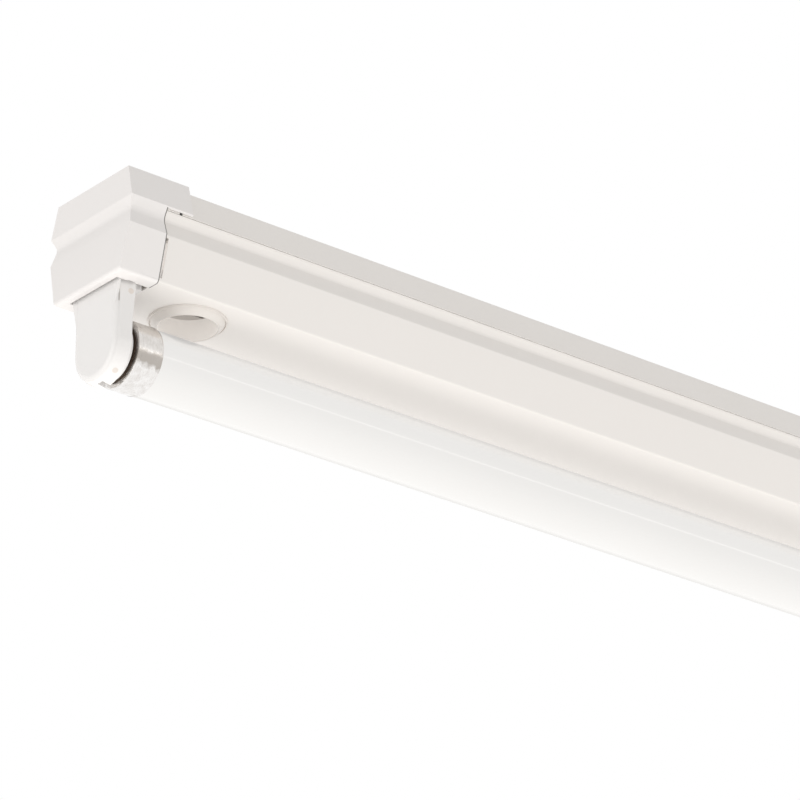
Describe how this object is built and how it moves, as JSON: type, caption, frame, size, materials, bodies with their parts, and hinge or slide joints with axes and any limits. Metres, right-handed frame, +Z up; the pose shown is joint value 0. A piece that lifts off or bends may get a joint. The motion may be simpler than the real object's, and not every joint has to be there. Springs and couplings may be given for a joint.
{
  "type": "fluorescent light fixture",
  "caption": "Ceiling batten with a straight fluorescent lamp in rotary lampholders under a coved sheet steel housing with moulded end caps.",
  "frame": {"origin": "middle of the flat back that lies against the ceiling, midway between the two fixing slots", "axes": "+X along the lamp, towards the end away from the starter hole; +Z up, out of the back into the ceiling"},
  "size_m": [0.6194, 0.0498, 0.0774],
  "materials": {
    "white_enamel": "satin white stove enamel",
    "white_moulding": "white moulded plastic, soft gloss",
    "holder_moulding": "white moulded plastic, slightly translucent",
    "zinc_steel": "bright zinc plate",
    "core_steel": "black varnished laminations",
    "copper_winding": "varnished copper wire, with brass standing in for copper",
    "terminal_moulding": "natural white moulding",
    "can_aluminium": "drawn can",
    "lamp_aluminium": "brushed shell",
    "brown_insulator": "dark brown insulating board",
    "brass": "plain",
    "bronze": "sprung bronze strip",
    "lamp_glass": "glass with a white coating inside",
    "stem_glass": "clear lead glass",
    "black_rubber": "matte",
    "brown_insulation": "wire insulation",
    "blue_insulation": "wire insulation",
    "white_insulation": "wire insulation",
    "grey_insulation": "wire insulation",
    "green_insulation": "green and yellow wire insulation"
  },
  "bodies": {
    "housing": {"spine": "white_enamel", "end_cap_left": "white_moulding", "end_cap_right": "white_moulding", "lampholder_back_left": "holder_moulding", "lampholder_back_right": "holder_moulding", "lampholder_body_left": "holder_moulding", "lampholder_body_right": "holder_moulding", "lampholder_contacts_left": "bronze", "lampholder_contacts_right": "bronze", "lampholder_bracket_left": "zinc_steel", "lampholder_bracket_right": "zinc_steel", "ballast_base": "zinc_steel", "ballast_core": "core_steel", "ballast_coil": "copper_winding", "ballast_terminal": "terminal_moulding", "capacitor": "can_aluminium", "capacitor_clip": "zinc_steel", "terminal_block": "terminal_moulding", "terminal_inserts": "brass", "terminal_screws": "zinc_steel", "gear_screws": "zinc_steel", "earth_screw": "brass", "cable_grommet": "black_rubber", "cover_clips": "zinc_steel", "starter_holder": "holder_moulding", "starter_contacts": "bronze", "wire_live": "brown_insulation", "wire_neutral": "blue_insulation", "wire_ballast_lamp": "brown_insulation", "wire_starter_right": "white_insulation", "wire_starter_left": "white_insulation", "wire_capacitor": "grey_insulation", "wire_earth": "green_insulation"},
    "cover_unit": {"cover": "white_enamel", "starter_hole_bush": "white_moulding"},
    "left_rotor": {"rotor_left": "holder_moulding"},
    "right_rotor": {"rotor_right": "holder_moulding"},
    "lamp": {"lamp_tube": "lamp_glass", "lamp_cap_left": "lamp_aluminium", "lamp_cap_right": "lamp_aluminium", "lamp_insulator_left": "brown_insulator", "lamp_insulator_right": "brown_insulator", "lamp_pins_left": "brass", "lamp_pins_right": "brass", "lamp_electrode_left": "stem_glass", "lamp_electrode_right": "stem_glass"}
  },
  "joints": [
    {"name": "lamp_turn", "type": "hinge", "parent": "housing", "child": "left_rotor", "pos_m": [-0.3, 0, -0.0634], "axis": [1, 0, 0], "range_deg": [0, 90]},
    {"name": "right_rotor_turn", "type": "hinge", "parent": "housing", "child": "right_rotor", "pos_m": [0.3, 0, -0.0634], "axis": [1, 0, 0], "range_deg": [0, 90]},
    {"name": "lamp_pull", "type": "slide", "parent": "left_rotor", "child": "lamp", "axis": [0, 0, -1], "range_m": [0, 0.12]},
    {"name": "cover_drop", "type": "slide", "parent": "housing", "child": "cover_unit", "axis": [0, 0, -1], "range_m": [0, 0.005]}
  ],
  "couplings": [
    {"joint": "right_rotor_turn", "follows": "lamp_turn", "ratio": 1}
  ]
}
